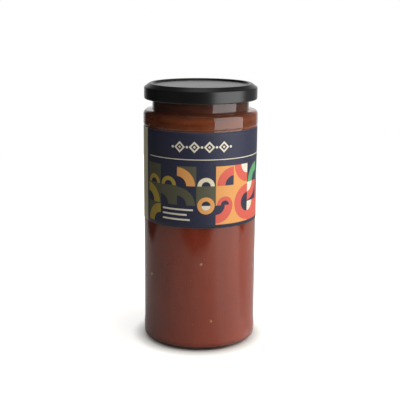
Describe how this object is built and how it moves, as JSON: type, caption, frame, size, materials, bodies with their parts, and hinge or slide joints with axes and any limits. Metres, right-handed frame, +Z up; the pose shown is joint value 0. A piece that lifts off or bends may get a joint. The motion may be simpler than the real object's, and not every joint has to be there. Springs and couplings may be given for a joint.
{
  "type": "passata jar",
  "caption": "Straight round glass jar of tomato passata with a black twist-off lid, a ring groove under the lid and a paper label wrapped round its body.",
  "frame": {"origin": "centre of the foot ring, on the surface the jar stands on", "axes": "+Z up along the jar's own axis; -Y towards the front panel of the label; +X to the right of someone facing the front"},
  "size_m": [0.0744, 0.0744, 0.1704],
  "materials": {
    "glass": "clear moulded container glass, smooth and shiny",
    "passata": "wet dark red sieved tomato, opaque",
    "label": "printed satin paper, dark navy ground with fields of coral, amber and cream",
    "lid": "satin black lacquered tinplate"
  },
  "bodies": {
    "root": {"glass_jar": "glass", "passata": "passata", "label": "label", "lid": "lid"}
  },
  "joints": []
}
